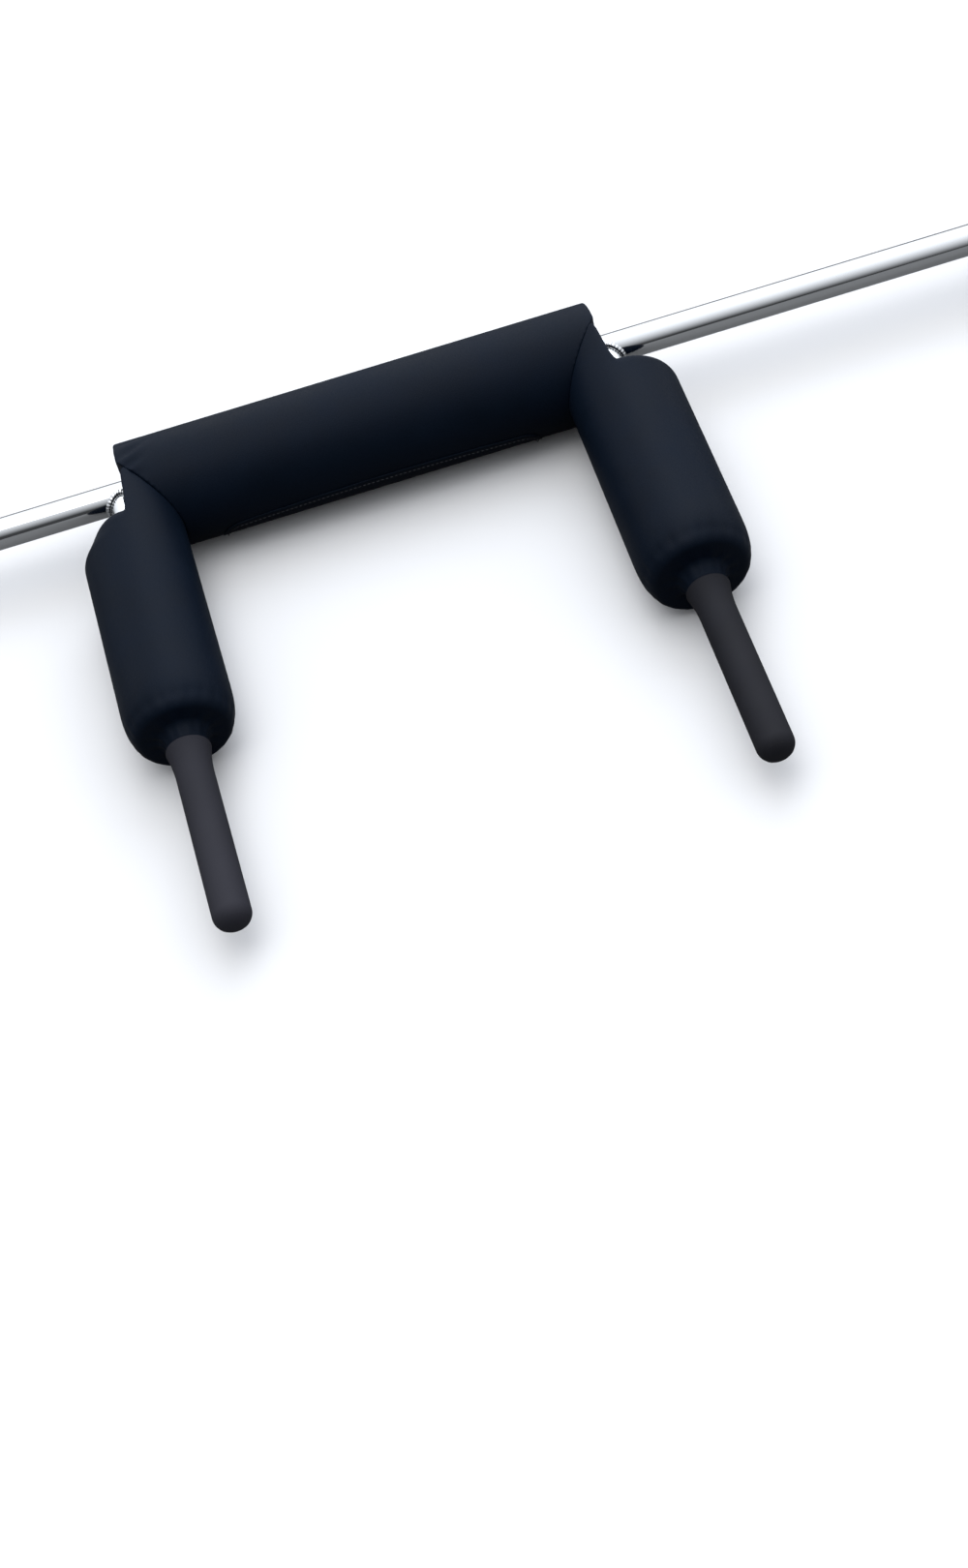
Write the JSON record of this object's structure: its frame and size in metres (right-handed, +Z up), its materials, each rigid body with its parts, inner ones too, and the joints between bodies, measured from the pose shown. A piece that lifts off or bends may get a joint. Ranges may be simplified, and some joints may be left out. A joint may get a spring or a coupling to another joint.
{
  "type": "safety squat bar",
  "caption": "Straight loading bar with rotating plate sleeves, a padded neck roll, and padded arms that reach forward over the shoulders and end in rubber handles.",
  "frame": {"origin": "on the ground under the middle of the object, as it lies on its pads", "axes": "+X along the bar towards the right sleeve, +Z up, the handles point towards -Y and slope down by about two degrees"},
  "size_m": [2.2, 0.5296, 0.1034],
  "materials": {
    "chromed_bar": "bright chrome plate on a ground steel bar",
    "chromed_weld": "weld bead under chrome plate, rippled",
    "chromed_sleeve": "chrome plate over turned steel, fine turning marks",
    "oiled_bronze": "sintered oiled bronze",
    "ground_steel": "ground spring steel",
    "sewn_vinyl": "dark navy vinyl leathercloth, soft sheen",
    "foam_core": "closed-cell foam",
    "grip_rubber": "matt charcoal rubber",
    "moulded_cap": "moulded black plastic"
  },
  "bodies": {
    "bar_frame": {"shaft": "chromed_bar", "neck_foam": "foam_core", "neck_cover": "sewn_vinyl", "neck_flap": "sewn_vinyl", "left_arm": "chromed_bar", "left_weld": "chromed_weld", "left_shoulder_foam": "foam_core", "left_shoulder_cover": "sewn_vinyl", "left_grip": "grip_rubber", "left_inner_washer": "ground_steel", "left_outer_washer": "ground_steel", "left_snap_ring": "ground_steel", "right_arm": "chromed_bar", "right_weld": "chromed_weld", "right_shoulder_foam": "foam_core", "right_shoulder_cover": "sewn_vinyl", "right_grip": "grip_rubber", "right_inner_washer": "ground_steel", "right_outer_washer": "ground_steel", "right_snap_ring": "ground_steel"},
    "left_sleeve_unit": {"left_sleeve": "chromed_sleeve", "left_collar": "chromed_sleeve", "left_inner_bushing": "oiled_bronze", "left_outer_bushing": "oiled_bronze", "left_end_cap": "moulded_cap"},
    "right_sleeve_unit": {"right_sleeve": "chromed_sleeve", "right_collar": "chromed_sleeve", "right_inner_bushing": "oiled_bronze", "right_outer_bushing": "oiled_bronze", "right_end_cap": "moulded_cap"}
  },
  "joints": [
    {"name": "left_sleeve_spin", "type": "hinge", "parent": "bar_frame", "child": "left_sleeve_unit", "pos_m": [-0.88, 0.21646, 0.05681], "axis": [1, 0, 0], "continuous": true},
    {"name": "right_sleeve_spin", "type": "hinge", "parent": "bar_frame", "child": "right_sleeve_unit", "pos_m": [0.88, 0.21646, 0.05681], "axis": [1, 0, 0], "continuous": true}
  ]
}
